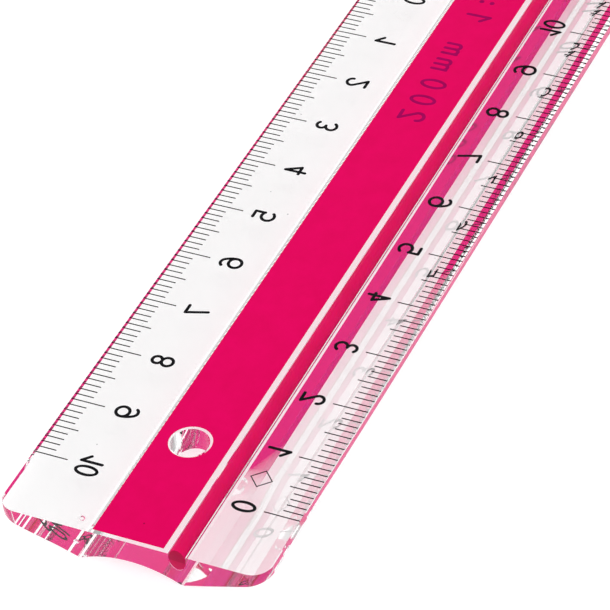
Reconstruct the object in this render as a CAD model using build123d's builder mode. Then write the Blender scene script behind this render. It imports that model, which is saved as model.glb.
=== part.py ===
from build123d import *
import math
import os

# Double-scale drafting ruler in clear acrylic, 20 cm long.
# X runs along the ruler, Y across it and Z up, in millimetres. The origin is under the
# middle of the ruler, at the height of the two ridges that it lies on. The printed face is
# on top, so every number is mirrored from above and reads right through the blade.

# ---- Blade ----
scale_length = 200.0      # graduated length of both scales
end_margin = 10.2         # plain blade beyond each end of the scales
blade_width = 35.7        # across the widest points
blade_height = 4.8        # from the ridges to the printed face
edge_thickness = 1.2      # height of each drawing edge
corner_radius = 2.6       # plan corners

trough_offset = 0.07      # ridges and trough lie this far towards the centre scale
ridge_spacing = 13.95     # between the outer sides of the two ridges
ridge_land = 0.35         # flat underside of each ridge
trough_depth = 1.6        # finger trough between the ridges
strip_width = 2.65        # steeper inner strip of each bevel, beside its ridge
strip_rise = 0.94
middle_width = 4.3        # gentler middle of each bevel; the rest rises to the drawing edge
middle_rise = 1.28

centre_edge_relief = 0.10      # the centre scale's edge is set back beyond the scale
centre_relief_start = 1.4      # from the end of the scale to that relief
zero_edge_relief = 0.15        # the zero scale's edge is set back between its corner blocks
zero_relief_start = 5.1        # from the end of the scale to the corner block

hole_radius = 2.45        # hanging hole
hole_from_zero = 7.75     # from the scale's end to the hanging hole
hole_offset = 0.45        # the hole lies this far towards the centre scale
dimple_radius = 0.4       # ejector dimple in the centre scale's bevel
dimple_from_end = 3.8     # from the end of the blade to the dimple
dimple_from_ridge = 1.2   # from the ridge to the dimple

# ---- Grip cord ----
cord_width = 2.25         # soft round cord, squeezed to an oval by its groove
cord_height = 3.1
cord_proud = 0.83         # how far it stands above the printed face
cord_from_edge = 11.4     # from the zero scale's widest edge to the middle of the cord
cord_side_clearance = 0.02
cord_floor_clearance = 0.08

# ---- Print ----
ink_thickness = 0.03
panel_thickness = 0.04
tick_width = 0.15
tick_lengths = {"mm": 2.6, "5mm": 3.55, "cm": 4.65}
panel_from_edge = 12.97   # from the centre scale's edge to the panel
panel_gap = 0.78          # clear line between the panel and the cord's groove
panel_end_margin = 0.57   # clear line between the panel and the blade's ends
hole_print_gap = 0.3      # clear ring between the panel and the hanging hole
hole_print_shift = 0.13   # the print sits this far inboard of the drilled hole

numeral_height = 2.8      # between stroke centres
numeral_width = 1.4
numeral_stroke = 0.42
numeral_advance = 1.85
centre_numeral_distance = 7.67   # from the drawing edge to the middle of the numbers
zero_numeral_distance = 7.3
centre_scale_zero = 100.0        # the centre scale counts both ways from here

mark_from_zero = 5.0      # outlined diamond beside the zero
mark_half_diagonal = 1.5
mark_stroke = 0.13

legend_start = 73.8       # from the zero scale's zero
legend_height = 3.3
legend_stroke = 0.5
legend_advance = 3.7
legend_words = (("200", 0), ("mm", 3.2), ("1:1", 6.3))   # each with its start, in advances

# ---- Derived places ----
length = scale_length + 2 * end_margin
half_length = length / 2
half_width = blade_width / 2
zero_x = -scale_length / 2
bevel_end = blade_height - edge_thickness
centre_ridge_y = trough_offset + ridge_spacing / 2
zero_ridge_y = trough_offset - ridge_spacing / 2

groove_y = cord_from_edge - half_width
groove_width = cord_width + 2 * cord_side_clearance
cord_centre = blade_height + cord_proud - cord_height / 2
groove_half_height = cord_height / 2 + cord_floor_clearance

hole_x = zero_x + hole_from_zero
panel_low_y = groove_y + groove_width / 2 + panel_gap
panel_width = half_width - panel_from_edge - panel_low_y
panel_y = panel_low_y + panel_width / 2
panel_length = length - 2 * panel_end_margin
hole_print_radius = hole_radius + hole_print_gap
print_plane = Plane.XY.offset(blade_height)
zero_edge_y = -(half_width - zero_edge_relief)
centre_edge_y = half_width


def finish(builder, name):
    """Label a finished piece and write its file."""
    builder.part.label = name
    export_step(builder.part, f"parts/{name}.step")


# ---- Blade ----
def make_blade():
    """Clear blade: two bevels, a finger trough, a round-bottomed cord groove and a hanging hole."""
    relief_length = scale_length + 2 * zero_relief_start
    end_relief = end_margin - centre_relief_start
    middle_top = strip_rise + middle_rise
    zero_land = (zero_ridge_y + ridge_land, 0)
    centre_land = (centre_ridge_y - ridge_land, 0)
    dimple_y = centre_ridge_y + dimple_from_ridge
    dimple_z = dimple_from_ridge * strip_rise / strip_width
    with BuildPart() as blade:
        with BuildSketch(Plane.YZ):
            with BuildLine():
                Polyline(
                    (half_width, bevel_end),
                    (half_width, blade_height),
                    (-half_width, blade_height),
                    (-half_width, bevel_end),
                )
                Polyline(
                    (-half_width, bevel_end),
                    (zero_ridge_y - strip_width - middle_width, middle_top),
                    (zero_ridge_y - strip_width, strip_rise),
                    (zero_ridge_y, 0),
                    zero_land,
                )
                ThreePointArc(zero_land, (trough_offset, trough_depth), centre_land)
                Polyline(
                    centre_land,
                    (centre_ridge_y, 0),
                    (centre_ridge_y + strip_width, strip_rise),
                    (centre_ridge_y + strip_width + middle_width, middle_top),
                    (half_width, bevel_end),
                )
            make_face()
        extrude(amount=half_length, both=True)
        with BuildSketch():
            RectangleRounded(length, blade_width, corner_radius)
            with Locations((0, -half_width)):
                Rectangle(relief_length, 2 * zero_edge_relief, mode=Mode.SUBTRACT)
            with Locations((-half_length, half_width), (half_length, half_width)):
                Rectangle(2 * end_relief, 2 * centre_edge_relief, mode=Mode.SUBTRACT)
        extrude(amount=blade_height, mode=Mode.INTERSECT)
        with BuildSketch(Plane.YZ):
            with Locations((groove_y, cord_centre)):
                Ellipse(groove_width / 2, groove_half_height)
            with Locations((groove_y, (cord_centre + blade_height) / 2)):
                Rectangle(groove_width, blade_height - cord_centre)
        extrude(amount=half_length, both=True, mode=Mode.SUBTRACT)
        with Locations((hole_x, hole_offset, blade_height)):
            Hole(hole_radius)
        with Locations((dimple_from_end - half_length, dimple_y, dimple_z)):
            Sphere(dimple_radius, mode=Mode.SUBTRACT)
    finish(blade, "blade")


def make_grip_cord():
    """Soft anti-slip cord, squeezed into its groove and standing proud of the print."""
    with BuildPart() as cord:
        with BuildSketch(Plane.YZ):
            with Locations((groove_y, cord_centre)):
                Ellipse(cord_width / 2, cord_height / 2)
        extrude(amount=half_length, both=True)
    finish(cord, "grip_cord")


# ---- Strokes of the numbers and letters ----
# Each character is drawn in shares of its height h and width w, with strokes s wide.
def line_stroke(start, end, width):
    """One straight stroke with round ends, between the centres of its ends."""
    run = Vector(*end) - Vector(*start)
    middle = (Vector(*end) + Vector(*start)) / 2
    angle = math.degrees(math.atan2(run.Y, run.X))
    with Locations((middle.X, middle.Y)):
        SlotCenterToCenter(run.length, width, rotation=angle)


def path_strokes(points, width):
    """Straight strokes that join a list of points."""
    for start, end in zip(points, points[1:]):
        line_stroke(start, end, width)


def arc_stroke(centre, radius, start_angle, sweep, width):
    """One round stroke with round ends."""
    SlotArc(CenterArc(centre, radius, start_angle, sweep), width)


def ring_stroke(centre, half_width_x, half_width_y, width):
    """A closed oval stroke."""
    with Locations(centre):
        Ellipse(half_width_y + width / 2, half_width_x + width / 2, rotation=90)
        Ellipse(half_width_y - width / 2, half_width_x - width / 2, rotation=90, mode=Mode.SUBTRACT)


def circle_stroke(centre, radius, width):
    """A closed round stroke."""
    with Locations(centre):
        Circle(radius + width / 2)
    with Locations(centre):
        Circle(radius - width / 2, mode=Mode.SUBTRACT)


def draw_zero(h, w, s):
    ring_stroke((0, h / 2), w / 2, h / 2, s)


def draw_one(h, w, s):
    path_strokes([(-0.42 * w, 0.66 * h), (0.26 * w, h), (0.26 * w, 0)], s)


def draw_two(h, w, s):
    r = w / 2
    turn = 40
    leave = (r * math.cos(math.radians(turn)), h - r - r * math.sin(math.radians(turn)))
    arc_stroke((0, h - r), r, -turn, 180 + turn, s)
    path_strokes([leave, (-r, 0), (r, 0)], s)


def draw_three(h, w, s):
    low = 0.27 * h
    high = h / 2 - low
    arc_stroke((0, low), low, -150, 240, s)
    arc_stroke((0, 2 * low + high), high, -90, 230, s)


def draw_four(h, w, s):
    bar = 0.28 * h
    stem = 0.2 * w
    path_strokes([(stem, 0), (stem, h), (-0.5 * w, bar), (0.5 * w, bar)], s)


def draw_five(h, w, s):
    r = 0.31 * h
    left = -r * math.cos(math.radians(45))
    arc_stroke((0, r), r, -140, 275, s)
    path_strokes([(0.42 * w, h), (left, h), (left, r + r * math.sin(math.radians(45)))], s)


def draw_six(h, w, s):
    r = 0.31 * h
    hook = 0.26 * h
    back_turn = 35
    hook_end = 35
    back = hook + (h - r - hook) / math.sin(math.radians(back_turn))
    hook_x = back - r - (back - hook) * math.cos(math.radians(back_turn))
    circle_stroke((0, r), r, s)
    arc_stroke((back - r, r), back, 180 - back_turn, back_turn, s)
    arc_stroke((hook_x, h - hook), hook, hook_end, 180 - back_turn - hook_end, s)


def draw_seven(h, w, s):
    path_strokes([(-0.5 * w, h), (0.5 * w, h), (-0.15 * w, 0)], s)


def draw_eight(h, w, s):
    low = 0.27 * h
    high = h / 2 - low
    with Locations((0, low)):
        Circle(low + s / 2)
    with Locations((0, 2 * low + high)):
        Circle(high + s / 2)
    with Locations((0, low)):
        Circle(low - s / 2, mode=Mode.SUBTRACT)
    with Locations((0, 2 * low + high)):
        Circle(high - s / 2, mode=Mode.SUBTRACT)


def draw_m(h, w, s):
    r = 0.17 * h
    low = 0.62 * h
    for step in (-1, 1):
        arc_stroke((step * r, low - r), r, 0, 180, s)
    for step in (-1, 0, 1):
        line_stroke((2 * step * r, low - r), (2 * step * r, 0), s)
    line_stroke((-2 * r, low), (-2 * r, low - r), s)


def draw_colon(h, w, s):
    with Locations((0, 0.22 * h), (0, 0.68 * h)):
        Circle(0.7 * s)


glyphs = {
    "0": draw_zero,
    "1": draw_one,
    "2": draw_two,
    "3": draw_three,
    "4": draw_four,
    "5": draw_five,
    "6": draw_six,
    "7": draw_seven,
    "8": draw_eight,
    "m": draw_m,
    ":": draw_colon,
}


def glyph_sketch(character, h, w, s):
    """One character, upright, with its foot in the middle of the origin."""
    with BuildSketch(mode=Mode.PRIVATE) as glyph:
        if character == "9":
            with Locations(Location((0, h), 180)):
                add(glyph_sketch("6", h, w, s))
        else:
            glyphs[character](h, w, s)
    return glyph.sketch


def add_text(text, middle, foot_y, facing, h, w, s, advance):
    """Add a word to the open sketch. Tops point to -Y when facing is -1 and to +Y when it is 1."""
    for place, character in enumerate(text):
        if character == " ":
            continue
        shift = (place - (len(text) - 1) / 2) * advance
        mirrored = mirror(glyph_sketch(character, h, w, s), about=Plane.YZ, mode=Mode.PRIVATE)
        turn = 0 if facing > 0 else 180
        with Locations(Location((middle - facing * shift, foot_y), turn)):
            add(mirrored)


# ---- Scales ----
def tick_kind(millimetre):
    """Which of the three tick lengths a graduation has."""
    if millimetre % 10 == 0:
        return "cm"
    if millimetre % 5 == 0:
        return "5mm"
    return "mm"


def make_ticks(name, edge_y, inward, kind):
    """All graduations of one kind on one scale, from its drawing edge inwards."""
    tick = tick_lengths[kind]
    places = [
        (zero_x + millimetre, edge_y + inward * tick / 2)
        for millimetre in range(int(scale_length) + 1)
        if tick_kind(millimetre) == kind
    ]
    with BuildPart() as ticks:
        with BuildSketch(print_plane):
            with Locations(*places):
                Rectangle(tick_width, tick)
        extrude(amount=ink_thickness)
    finish(ticks, name)


def make_numerals(name, foot_y, facing, number_at):
    """A number at each centimetre, with its value given by number_at."""
    with BuildPart() as numerals:
        with BuildSketch(print_plane):
            for centimetre in range(int(scale_length / 10) + 1):
                text = str(number_at(centimetre))
                middle = zero_x + 10 * centimetre
                add_text(text, middle, foot_y, facing, numeral_height, numeral_width,
                         numeral_stroke, numeral_advance)
        extrude(amount=ink_thickness)
    finish(numerals, name)


def make_origin_mark():
    """Small outlined diamond that shows which end of the zero scale is its start."""
    mark_y = zero_edge_y + zero_numeral_distance
    side = mark_half_diagonal * math.sqrt(2)
    with BuildPart() as mark:
        with BuildSketch(print_plane):
            with Locations((zero_x + mark_from_zero, mark_y)):
                Rectangle(side, side, rotation=45)
                Rectangle(side - 2 * mark_stroke, side - 2 * mark_stroke, rotation=45,
                          mode=Mode.SUBTRACT)
        extrude(amount=ink_thickness)
    finish(mark, "origin_mark")


# ---- Colour panel and its legend ----
def legend_sketch():
    """Plain size and ratio legend, in heavy strokes."""
    with BuildSketch(mode=Mode.PRIVATE) as legend:
        for text, first in legend_words:
            middle = zero_x + legend_start + legend_advance * (first + len(text) / 2)
            add_text(text, middle, panel_y + legend_height / 2, -1, legend_height, legend_height / 2,
                     legend_stroke, legend_advance)
    return legend.sketch


def make_panel_and_legend():
    """Coloured panel over the trough, with the legend let into it."""
    legend_shape = legend_sketch()
    with BuildPart() as panel:
        with BuildSketch(print_plane):
            with Locations((0, panel_y)):
                Rectangle(panel_length, panel_width)
            with Locations((hole_x + hole_print_shift, hole_offset)):
                Circle(hole_print_radius, mode=Mode.SUBTRACT)
            add(legend_shape, mode=Mode.SUBTRACT)
        extrude(amount=panel_thickness)
    finish(panel, "colour_panel")
    with BuildPart() as legend:
        with BuildSketch(print_plane):
            add(legend_shape)
        extrude(amount=panel_thickness)
    finish(legend, "panel_legend")


os.makedirs("parts", exist_ok=True)
make_blade()
make_grip_cord()
make_panel_and_legend()
make_origin_mark()
for kind in tick_lengths:
    make_ticks(f"centre_scale_{kind}_ticks", centre_edge_y, -1, kind)
    make_ticks(f"zero_scale_{kind}_ticks", zero_edge_y, 1, kind)

centre_foot_y = centre_edge_y - centre_numeral_distance - numeral_height / 2
zero_foot_y = zero_edge_y + zero_numeral_distance + numeral_height / 2
make_numerals(
    "centre_scale_numerals", centre_foot_y, 1, lambda cm: abs(cm - round(centre_scale_zero / 10))
)
make_numerals("zero_scale_numerals", zero_foot_y, -1, lambda cm: cm)
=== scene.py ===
import math
import bmesh
import bpy
from mathutils import Matrix, Vector


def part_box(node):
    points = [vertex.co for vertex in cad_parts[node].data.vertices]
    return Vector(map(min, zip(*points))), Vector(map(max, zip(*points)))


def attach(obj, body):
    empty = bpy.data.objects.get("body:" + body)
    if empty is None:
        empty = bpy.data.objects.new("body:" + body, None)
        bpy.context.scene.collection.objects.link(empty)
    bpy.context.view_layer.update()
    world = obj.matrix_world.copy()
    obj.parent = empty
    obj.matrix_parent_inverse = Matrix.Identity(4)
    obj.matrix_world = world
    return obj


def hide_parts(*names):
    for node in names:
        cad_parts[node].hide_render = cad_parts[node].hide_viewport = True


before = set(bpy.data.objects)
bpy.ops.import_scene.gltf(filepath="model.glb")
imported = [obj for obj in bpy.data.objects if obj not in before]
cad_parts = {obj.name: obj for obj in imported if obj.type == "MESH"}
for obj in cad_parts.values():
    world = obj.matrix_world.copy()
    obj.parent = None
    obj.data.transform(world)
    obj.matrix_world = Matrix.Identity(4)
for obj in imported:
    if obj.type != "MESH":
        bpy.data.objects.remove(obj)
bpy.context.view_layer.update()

MM = 0.001

# ---- Sizes shared with the design, in metres ----
BLADE_LOW, BLADE_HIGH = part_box("blade")
CORD_LOW, CORD_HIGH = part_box("grip_cord")
LENGTH = BLADE_HIGH.x - BLADE_LOW.x
WIDTH = BLADE_HIGH.y - BLADE_LOW.y
HEIGHT = BLADE_HIGH.z
SCALE_LENGTH = 200 * MM
EDGE_THICKNESS = 1.2 * MM
CORNER_RADIUS = 2.6 * MM
TROUGH_Y = 0.07 * MM
RIDGE_SPACING = 13.95 * MM
RIDGE_LAND = 0.35 * MM
TROUGH_DEPTH = 1.6 * MM
STRIP_WIDTH = 2.65 * MM
STRIP_RISE = 0.94 * MM
MIDDLE_WIDTH = 4.3 * MM
MIDDLE_RISE = 1.28 * MM
CENTRE_RELIEF = 0.10 * MM
CENTRE_RELIEF_START = 1.4 * MM
ZERO_RELIEF = 0.15 * MM
ZERO_RELIEF_START = 5.1 * MM
HOLE_RADIUS = 2.45 * MM
HOLE_FROM_ZERO = 7.75 * MM
HOLE_X = -SCALE_LENGTH / 2 + HOLE_FROM_ZERO
HOLE_Y = 0.45 * MM
DIMPLE_RADIUS = 0.4 * MM
DIMPLE_FROM_END = 3.8 * MM
DIMPLE_FROM_RIDGE = 1.2 * MM
CORD_Y = (CORD_LOW.y + CORD_HIGH.y) / 2
CORD_Z = (CORD_LOW.z + CORD_HIGH.z) / 2
CORD_SIDE_CLEARANCE = 0.02 * MM
CORD_FLOOR_CLEARANCE = 0.08 * MM
GROOVE_HALF_WIDTH = (CORD_HIGH.y - CORD_LOW.y) / 2 + CORD_SIDE_CLEARANCE
GROOVE_HALF_HEIGHT = (CORD_HIGH.z - CORD_LOW.z) / 2 + CORD_FLOOR_CLEARANCE
ZERO_RIDGE_Y = TROUGH_Y - RIDGE_SPACING / 2
CENTRE_RIDGE_Y = TROUGH_Y + RIDGE_SPACING / 2

# ---- Sizes of the visible pieces alone, in metres ----
# The zero side's strip sinks a little at its top by the zero end, which fades the colour there.
SINK_DEPTH = 0.13 * MM
SINK_START = 91.5 * MM       # from the middle of the blade to where the sink begins
SINK_FULL = 99.5 * MM        # from the middle of the blade to where it is whole
KEY_DEPTH = 0.012 * MM       # how far ink and cord are keyed into the blade that they touch
EDGE_BEVEL = 0.035 * MM      # softening of the blade's edges
CORD_BEVEL = 0.08 * MM
PAST_BLADE = 5 * MM          # how far a cutting shape stands past what it cuts
NEAR = 0.02 * MM             # how near a point lies to a line that it belongs to
SOFTENED_TURN = 18           # blade edges that turn by more degrees than this are softened
CORD_SOFTENED_TURN = 40

# ---- Steps of the round shapes ----
GROOVE_STEPS = 32
TROUGH_STEPS = 64
SINK_STEPS = 16
CORNER_STEPS = 16
HOLE_STEPS = 96
CORD_STEPS = 64


# ---- Mesh helpers ----
def new_object(name, bm, smooth=True):
    mesh = bpy.data.meshes.new(name)
    bmesh.ops.recalc_face_normals(bm, faces=bm.faces)
    bm.to_mesh(mesh)
    bm.free()
    for polygon in mesh.polygons:
        polygon.use_smooth = smooth
    piece = bpy.data.objects.new(name, mesh)
    bpy.context.scene.collection.objects.link(piece)
    return piece


def prism(name, outline, direction):
    """A closed prism: a planar outline of 3D points, pushed along a direction."""
    bm = bmesh.new()
    base = [bm.verts.new(p) for p in outline]
    face = bm.faces.new(base)
    pushed = bmesh.ops.extrude_face_region(bm, geom=[face])
    verts = [v for v in pushed["geom"] if isinstance(v, bmesh.types.BMVert)]
    bmesh.ops.translate(bm, vec=direction, verts=verts)
    return new_object(name, bm)


def arc_points(start, end, sag, count):
    """Points of an arc between two planar points; sag is signed, to the left of the run."""
    sx, sy = start
    ex, ey = end
    chord = math.hypot(ex - sx, ey - sy)
    radius = (chord * chord / 4 + sag * sag) / (2 * abs(sag))
    nx, ny = -(ey - sy) / chord, (ex - sx) / chord
    side = 1 if sag > 0 else -1
    cx = (sx + ex) / 2 - side * nx * (radius - abs(sag))
    cy = (sy + ey) / 2 - side * ny * (radius - abs(sag))
    first = math.atan2(sy - cy, sx - cx)
    last = math.atan2(ey - cy, ex - cx)
    turn = (last - first + math.pi) % (2 * math.pi) - math.pi
    return [
        (cx + radius * math.cos(first + turn * i / count), cy + radius * math.sin(first + turn * i / count))
        for i in range(count + 1)
    ]


def boolean(target, tool, operation):
    """Cut the target with the tool, or keep what they share, and delete the tool."""
    modifier = target.modifiers.new(operation.lower(), "BOOLEAN")
    modifier.operation = operation
    modifier.solver = "EXACT"
    modifier.object = tool
    apply_modifiers(target)
    bpy.data.objects.remove(tool)


def apply_modifiers(piece):
    graph = bpy.context.evaluated_depsgraph_get()
    mesh = bpy.data.meshes.new_from_object(piece.evaluated_get(graph))
    piece.modifiers.clear()
    old = piece.data
    piece.data = mesh
    bpy.data.meshes.remove(old)


# ---- Blade ----
def blade_section(sink):
    """Section across the blade as (y, z) points, with the zero side's strip lowered by sink."""
    half = WIDTH / 2
    shoulder = HEIGHT - EDGE_THICKNESS
    middle_top = STRIP_RISE + MIDDLE_RISE
    points = [(half, HEIGHT), (CORD_Y + GROOVE_HALF_WIDTH, HEIGHT)]
    points += [
        (CORD_Y + GROOVE_HALF_WIDTH * math.cos(a), CORD_Z - GROOVE_HALF_HEIGHT * math.sin(a))
        for a in (math.pi * i / GROOVE_STEPS for i in range(GROOVE_STEPS + 1))
    ]
    points += [(CORD_Y - GROOVE_HALF_WIDTH, HEIGHT), (-half, HEIGHT)]
    points += [(-half, shoulder), (ZERO_RIDGE_Y - STRIP_WIDTH - MIDDLE_WIDTH, middle_top)]
    points += [(ZERO_RIDGE_Y - STRIP_WIDTH, STRIP_RISE - sink), (ZERO_RIDGE_Y, 0)]
    zero_land = (ZERO_RIDGE_Y + RIDGE_LAND, 0)
    centre_land = (CENTRE_RIDGE_Y - RIDGE_LAND, 0)
    points += arc_points(zero_land, centre_land, TROUGH_DEPTH, TROUGH_STEPS)
    points += [(CENTRE_RIDGE_Y, 0), (CENTRE_RIDGE_Y + STRIP_WIDTH, STRIP_RISE)]
    points += [(CENTRE_RIDGE_Y + STRIP_WIDTH + MIDDLE_WIDTH, middle_top), (half, shoulder)]
    return points


def blade_bar():
    """The blade's section run along X, longer than the blade, before its ends are cut."""
    half = LENGTH / 2 + PAST_BLADE
    run = SINK_FULL - SINK_START
    places = [-(SINK_START + run * i / SINK_STEPS) for i in range(SINK_STEPS, -1, -1)]
    places = [-half] + places + [half]
    bm = bmesh.new()
    rings = []
    for x in places:
        share = min(max((-x - SINK_START) / run, 0), 1)
        sink = SINK_DEPTH * share * share * (3 - 2 * share)
        rings.append([bm.verts.new((x, y, z)) for y, z in blade_section(sink)])
    bm.faces.new(rings[0])
    bm.faces.new(rings[-1])
    count = len(rings[0])
    for ring, after in zip(rings, rings[1:]):
        for i in range(count):
            j = (i + 1) % count
            bm.faces.new((ring[i], ring[j], after[j], after[i]))
    return new_object("acrylic_blade", bm)


def sharpen_facets(piece):
    """Keep the long edges between the bevels' facets sharp, so that each facet is flat."""
    kinks = []
    for ridge_y, side in ((ZERO_RIDGE_Y, -1), (CENTRE_RIDGE_Y, 1)):
        strip_top = ridge_y + side * STRIP_WIDTH
        kinks += [strip_top, strip_top + side * MIDDLE_WIDTH]
    bm = bmesh.new()
    bm.from_mesh(piece.data)
    for edge in bm.edges:
        low = all(v.co.z < HEIGHT - EDGE_THICKNESS for v in edge.verts)
        if low and all(min(abs(v.co.y - y) for y in kinks) < NEAR for v in edge.verts):
            edge.smooth = False
    bm.to_mesh(piece.data)
    bm.free()


def blade_plan():
    """Plan outline of the blade as (x, y) points, with its relieved edges."""
    hx, hy = LENGTH / 2, WIDTH / 2
    zero_x = SCALE_LENGTH / 2 + ZERO_RELIEF_START
    centre_x = SCALE_LENGTH / 2 + CENTRE_RELIEF_START
    points = []
    for cx, cy, start in ((1, 1, 0), (-1, 1, 90), (-1, -1, 180), (1, -1, 270)):
        for i in range(CORNER_STEPS + 1):
            angle = math.radians(start + 90 * i / CORNER_STEPS)
            x = cx * (hx - CORNER_RADIUS) + CORNER_RADIUS * math.cos(angle)
            y = cy * (hy - CORNER_RADIUS) + CORNER_RADIUS * math.sin(angle)
            points.append((x, min(y, hy - CENTRE_RELIEF)))
        if (cx, cy) == (1, 1):
            points += [(centre_x, hy - CENTRE_RELIEF), (centre_x, hy), (-centre_x, hy)]
            points.append((-centre_x, hy - CENTRE_RELIEF))
        if (cx, cy) == (-1, -1):
            points += [(-zero_x, -hy), (-zero_x, ZERO_RELIEF - hy), (zero_x, ZERO_RELIEF - hy)]
            points.append((zero_x, -hy))
    return points


def make_blade():
    """The clear blade, with its plan outline, hanging hole and dimple cut."""
    blade = blade_bar()
    through = (0, 0, HEIGHT + 3 * PAST_BLADE)
    plan = [(x, y, -PAST_BLADE) for x, y in blade_plan()]
    boolean(blade, prism("plan", plan, through), "INTERSECT")
    circle = [
        (HOLE_X + HOLE_RADIUS * math.cos(a), HOLE_Y + HOLE_RADIUS * math.sin(a), -PAST_BLADE)
        for a in (2 * math.pi * i / HOLE_STEPS for i in range(HOLE_STEPS))
    ]
    boolean(blade, prism("drill", circle, through), "DIFFERENCE")
    dimple_x = DIMPLE_FROM_END - LENGTH / 2
    dimple_y = CENTRE_RIDGE_Y + DIMPLE_FROM_RIDGE
    dimple_z = DIMPLE_FROM_RIDGE * STRIP_RISE / STRIP_WIDTH
    at = Matrix.Translation((dimple_x, dimple_y, dimple_z))
    bm = bmesh.new()
    bmesh.ops.create_icosphere(bm, subdivisions=3, radius=DIMPLE_RADIUS, matrix=at)
    boolean(blade, new_object("dimple", bm), "DIFFERENCE")
    sharpen_facets(blade)
    bevel = blade.modifiers.new("edges", "BEVEL")
    bevel.width = EDGE_BEVEL
    bevel.segments = 2
    bevel.limit_method = "ANGLE"
    bevel.angle_limit = math.radians(SOFTENED_TURN)
    bevel.use_clamp_overlap = True
    normals = blade.modifiers.new("normals", "WEIGHTED_NORMAL")
    normals.keep_sharp = True
    normals.weight = 100
    apply_modifiers(blade)
    blade.data.materials.append(acrylic_material("clear_acrylic", 0.0, 0.012))
    blade.data.materials.append(acrylic_material("groove_acrylic", 0.22, 0.34))
    groove_floor = CORD_Z - GROOVE_HALF_HEIGHT
    for polygon in blade.data.polygons:
        across = abs(polygon.center.y - CORD_Y) < GROOVE_HALF_WIDTH + 0.01 * MM
        inside = groove_floor - 0.01 * MM < polygon.center.z < HEIGHT - 0.05 * MM
        if across and inside and abs(polygon.normal.x) < 0.5:
            polygon.material_index = 1
    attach(blade, "root")
    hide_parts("blade")


def make_ink(node):
    """The printed layer of a CAD node, keyed a hair into the blade so that ink and blade touch."""
    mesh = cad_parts[node].data.copy()
    for v in mesh.vertices:
        if v.co.z < HEIGHT + 0.005 * MM:
            v.co.z = HEIGHT - KEY_DEPTH
    ink = bpy.data.objects.new(node + "_ink", mesh)
    bpy.context.scene.collection.objects.link(ink)
    for polygon in mesh.polygons:
        polygon.use_smooth = False
    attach(ink, "root")
    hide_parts(node)
    return ink


def make_cord():
    """The cord, pressed against the groove's walls below its middle."""
    half_y = GROOVE_HALF_WIDTH + KEY_DEPTH
    above = CORD_HIGH.z - CORD_Z
    below = GROOVE_HALF_HEIGHT + KEY_DEPTH
    outline = []
    for i in range(CORD_STEPS):
        angle = 2 * math.pi * i / CORD_STEPS
        y = CORD_Y + half_y * math.cos(angle)
        z = CORD_Z + (above if i < CORD_STEPS / 2 else below) * math.sin(angle)
        outline.append((CORD_LOW.x, y, z))
    cord = prism("silicone_cord", outline, (CORD_HIGH.x - CORD_LOW.x, 0, 0))
    bevel = cord.modifiers.new("edges", "BEVEL")
    bevel.width = CORD_BEVEL
    bevel.segments = 3
    bevel.limit_method = "ANGLE"
    bevel.angle_limit = math.radians(CORD_SOFTENED_TURN)
    apply_modifiers(cord)
    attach(cord, "root")
    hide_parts("grip_cord")
    return cord


# ---- Materials ----
NO_GLOW = (0, 0, 0, 1)


def new_material(name):
    material = bpy.data.materials.new(name)
    material.use_nodes = True
    tree = material.node_tree
    shader = tree.nodes["Principled BSDF"]
    return material, tree, shader


def noise(tree, scale, detail=3.0):
    """Noise fixed to the piece, with scale in cells per metre."""
    node = tree.nodes.new("ShaderNodeTexNoise")
    node.inputs["Scale"].default_value = scale
    node.inputs["Detail"].default_value = detail
    place = tree.nodes.new("ShaderNodeTexCoord")
    tree.links.new(place.outputs["Object"], node.inputs["Vector"])
    return node


def ramp(tree, source, stops):
    node = tree.nodes.new("ShaderNodeValToRGB")
    elements = node.color_ramp.elements
    while len(elements) < len(stops):
        elements.new(0.5)
    for element, (position, colour) in zip(elements, stops):
        element.position = position
        element.color = colour
    tree.links.new(source, node.inputs["Fac"])
    return node


def grey(value):
    return (value, value, value, 1)


def specks(tree, scale, size, share):
    """A mask that is 0 on small scattered specks and 1 elsewhere."""
    place = tree.nodes.new("ShaderNodeTexCoord")
    cells = tree.nodes.new("ShaderNodeTexVoronoi")
    cells.inputs["Scale"].default_value = scale
    tree.links.new(place.outputs["Object"], cells.inputs["Vector"])
    outside = tree.nodes.new("ShaderNodeMath")
    outside.operation = "GREATER_THAN"
    outside.inputs[1].default_value = size
    tree.links.new(cells.outputs["Distance"], outside.inputs[0])
    chosen = tree.nodes.new("ShaderNodeSeparateColor")
    tree.links.new(cells.outputs["Color"], chosen.inputs["Color"])
    unused = tree.nodes.new("ShaderNodeMath")
    unused.operation = "GREATER_THAN"
    unused.inputs[1].default_value = share
    tree.links.new(chosen.outputs["Red"], unused.inputs[0])
    mask = tree.nodes.new("ShaderNodeMath")
    mask.operation = "MAXIMUM"
    tree.links.new(outside.outputs["Value"], mask.inputs[0])
    tree.links.new(unused.outputs["Value"], mask.inputs[1])
    return mask.outputs["Value"]


def mix(tree, factor, first, second):
    """A colour between two others; first and second are sockets or plain colours."""
    node = tree.nodes.new("ShaderNodeMix")
    node.data_type = "RGBA"
    tree.links.new(factor, node.inputs["Factor"])
    for name, value in (("A", first), ("B", second)):
        socket = [i for i in node.inputs if i.name == name and i.type == "RGBA"][0]
        if isinstance(value, tuple):
            socket.default_value = value
        else:
            tree.links.new(value, socket)
    return [o for o in node.outputs if o.type == "RGBA"][0]


def facing(tree, axis, operation, limit):
    """A mask from the direction that a piece's own surface faces."""
    place = tree.nodes.new("ShaderNodeTexCoord")
    split = tree.nodes.new("ShaderNodeSeparateXYZ")
    tree.links.new(place.outputs["Normal"], split.inputs["Vector"])
    mask = tree.nodes.new("ShaderNodeMath")
    mask.operation = operation
    mask.inputs[1].default_value = limit
    tree.links.new(split.outputs[axis], mask.inputs[0])
    return mask.outputs["Value"]


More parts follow.
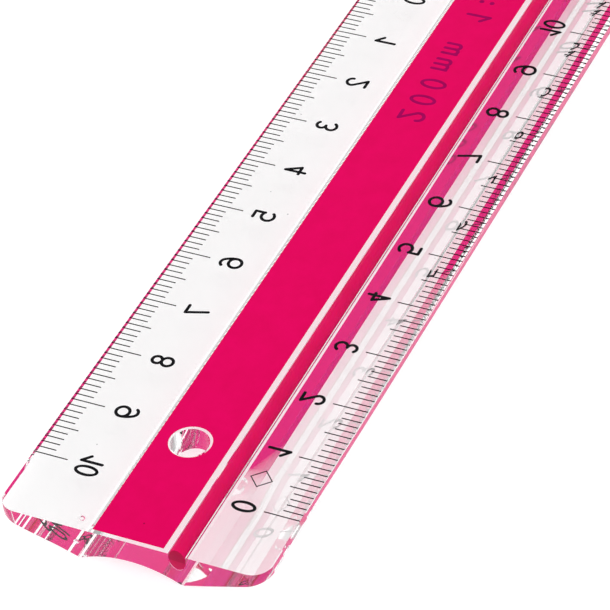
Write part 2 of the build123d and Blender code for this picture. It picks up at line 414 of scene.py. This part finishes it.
def acrylic_material(name, smoothest, roughest):
    material, tree, shader = new_material(name)
    shader.inputs["Transmission Weight"].default_value = 1.0
    shader.inputs["IOR"].default_value = 1.49
    tint = noise(tree, 60)
    shades = [(0.3, (0.985, 0.987, 0.985, 1)), (0.7, (0.997, 0.997, 0.997, 1))]
    clear = ramp(tree, tint.outputs["Fac"], shades)
    dust = specks(tree, 240, 0.035, 0.35)
    colour = mix(tree, dust, (0.55, 0.55, 0.56, 1), clear.outputs["Color"])
    tree.links.new(colour, shader.inputs["Base Color"])
    haze = noise(tree, 150)
    rough = ramp(tree, haze.outputs["Fac"], [(0.5, grey(smoothest)), (0.8, grey(roughest))])
    tree.links.new(rough.outputs["Color"], shader.inputs["Roughness"])
    return material


def ink_material(name, dark, light, roughness, painted_lit_underside, painted_glow):
    """Printed ink: its top, and its underside painted lighter than its top as painted light from below,
    with a painted glow that stands in for the light that it lets through.
    """
    material, tree, shader = new_material(name)
    tone = noise(tree, 500)
    top = ramp(tree, tone.outputs["Fac"], [(0.3, dark), (0.7, light)])
    speck = specks(tree, 260, 0.04, 0.3)
    worn = mix(tree, speck, tuple(0.45 * c for c in dark[:3]) + (1,), top.outputs["Color"])
    up = facing(tree, "Z", "GREATER_THAN", -0.5)
    # Painted light: faces turned down take the underside colour, which is painted lighter than the top.
    colour = mix(tree, up, painted_lit_underside, worn)
    tree.links.new(colour, shader.inputs["Base Color"])
    # Painted glow: emission on the faces turned down stands in for the light that the print lets through.
    through = mix(tree, up, painted_glow, NO_GLOW)
    tree.links.new(through, shader.inputs["Emission Color"])
    shader.inputs["Emission Strength"].default_value = 1.0
    shader.inputs["Specular IOR Level"].default_value = 0.02
    grain = noise(tree, 2500)
    rough = ramp(tree, grain.outputs["Fac"], [(0.3, grey(roughness - 0.08)), (0.7, grey(roughness + 0.08))])
    tree.links.new(rough.outputs["Color"], shader.inputs["Roughness"])
    return material


def cord_material():
    """Soft translucent silicone, with painted shade darkening its end faces, and its lower faces painted
    lighter with a painted glow that stands in for the light that comes through.
    """
    material, tree, shader = new_material("soft_cord")
    tone = noise(tree, 300)
    side = ramp(tree, tone.outputs["Fac"], [(0.3, (0.62, 0.0, 0.085, 1)), (0.7, (0.68, 0.0, 0.10, 1))])
    below = facing(tree, "Z", "LESS_THAN", -0.02)
    # Painted light: the lower faces take a lighter colour than the sides.
    body = mix(tree, below, side.outputs["Color"], (0.82, 0.015, 0.29, 1))
    # Painted shade: the cord's two end faces are painted darker.
    painted_end_shade = (0.36, 0.0, 0.045, 1)
    one_end = mix(tree, facing(tree, "X", "LESS_THAN", -0.7), body, painted_end_shade)
    colour = mix(tree, facing(tree, "X", "GREATER_THAN", 0.7), one_end, painted_end_shade)
    tree.links.new(colour, shader.inputs["Base Color"])
    # Painted glow: emission on the lower faces stands in for the light that comes through.
    through = mix(tree, below, NO_GLOW, (0.12, 0.0, 0.02, 1))
    tree.links.new(through, shader.inputs["Emission Color"])
    shader.inputs["Emission Strength"].default_value = 1.0
    shader.inputs["Subsurface Weight"].default_value = 0.5
    shader.inputs["Subsurface Radius"].default_value = (1.0, 0.2, 0.6)
    shader.inputs["Subsurface Scale"].default_value = 0.003
    shader.inputs["Specular IOR Level"].default_value = 0.1
    grain = noise(tree, 1800)
    rough = ramp(tree, grain.outputs["Fac"], [(0.3, grey(0.45)), (0.7, grey(0.6))])
    tree.links.new(rough.outputs["Color"], shader.inputs["Roughness"])
    return material


def paint(piece, material):
    piece.data.materials.clear()
    piece.data.materials.append(material)


# ---- Studio ----
CAMERA_PLACE = (-0.357457, -0.159010, 0.290529)
CAMERA_FORWARD = (0.66890, 0.35785, -0.65155)
CAMERA_RIGHT = (0.41224, -0.90795, -0.07545)
CAMERA_LENS = 205.33
CAMERA_SHIFT = -0.0025


def make_floor():
    bm = bmesh.new()
    bmesh.ops.create_grid(bm, x_segments=1, y_segments=1, size=3.0)
    floor = new_object("floor", bm, smooth=False)
    material, _, shader = new_material("floor_white")
    shader.inputs["Base Color"].default_value = grey(0.4)
    shader.inputs["Roughness"].default_value = 0.9
    shader.inputs["Specular IOR Level"].default_value = 0.0
    shader.inputs["Emission Color"].default_value = (1, 1, 1, 1)
    shader.inputs["Emission Strength"].default_value = 0.72
    paint(floor, material)


def make_world():
    """Soft sky, with a dimmer band between the horizon and the top."""
    world = bpy.data.worlds.new("studio")
    bpy.context.scene.world = world
    world.use_nodes = True
    tree = world.node_tree
    background = tree.nodes["Background"]
    place = tree.nodes.new("ShaderNodeTexCoord")
    split = tree.nodes.new("ShaderNodeSeparateXYZ")
    tree.links.new(place.outputs["Generated"], split.inputs["Vector"])
    bands = [(0.0, 0.75), (0.35, 0.75), (0.55, 0.25), (0.7, 0.25), (0.85, 0.9)]
    sky = ramp(tree, split.outputs["Z"], [(height, grey(light)) for height, light in bands])
    tree.links.new(sky.outputs["Color"], background.inputs["Color"])
    background.inputs["Strength"].default_value = 1.7


def make_camera():
    data = bpy.data.cameras.new("camera")
    data.sensor_width = 36
    data.lens = CAMERA_LENS
    data.shift_y = CAMERA_SHIFT
    data.clip_start = 0.01
    data.clip_end = 20
    camera = bpy.data.objects.new("camera", data)
    bpy.context.scene.collection.objects.link(camera)
    forward = Vector(CAMERA_FORWARD).normalized()
    right = Vector(CAMERA_RIGHT)
    right = (right - forward * right.dot(forward)).normalized()
    up = right.cross(forward)
    turn = Matrix((right, up, -forward)).transposed()
    camera.matrix_world = Matrix.Translation(CAMERA_PLACE) @ turn.to_4x4()
    bpy.context.scene.camera = camera


make_camera()
make_world()
make_floor()
make_blade()
cord = make_cord()
paint(cord, cord_material())
# Each ink's underside colour is painted lighter than its top as painted light, and its glow is a painted
# glow.
black = ink_material(
    "black_print",
    dark=(0.004, 0.004, 0.005, 1),
    light=(0.012, 0.012, 0.014, 1),
    roughness=0.5,
    painted_lit_underside=(0.02, 0.02, 0.022, 1),
    painted_glow=NO_GLOW,
)
magenta = ink_material(
    "magenta_print",
    dark=(0.73, 0.0, 0.10, 1),
    light=(0.77, 0.0, 0.112, 1),
    roughness=0.5,
    painted_lit_underside=(0.90, 0.02, 0.34, 1),
    painted_glow=(0.22, 0.0, 0.03, 1),
)
purple = ink_material(
    "purple_print",
    dark=(0.30, 0.0, 0.085, 1),
    light=(0.36, 0.0, 0.10, 1),
    roughness=0.5,
    painted_lit_underside=(0.5, 0.02, 0.2, 1),
    painted_glow=(0.06, 0.0, 0.01, 1),
)
inks = {"colour_panel": ("magenta_print", magenta), "panel_legend": ("purple_print", purple)}
for node in sorted(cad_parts):
    if node in ("blade", "grip_cord"):
        continue
    slot, material = inks.get(node, ("black_print", black))
    paint(make_ink(node), material)

scene = bpy.context.scene
scene.view_settings.view_transform = "Standard"
scene.cycles.max_bounces = 64
scene.cycles.transmission_bounces = 48
scene.cycles.glossy_bounces = 48
scene.cycles.diffuse_bounces = 6
scene.cycles.use_denoising = True
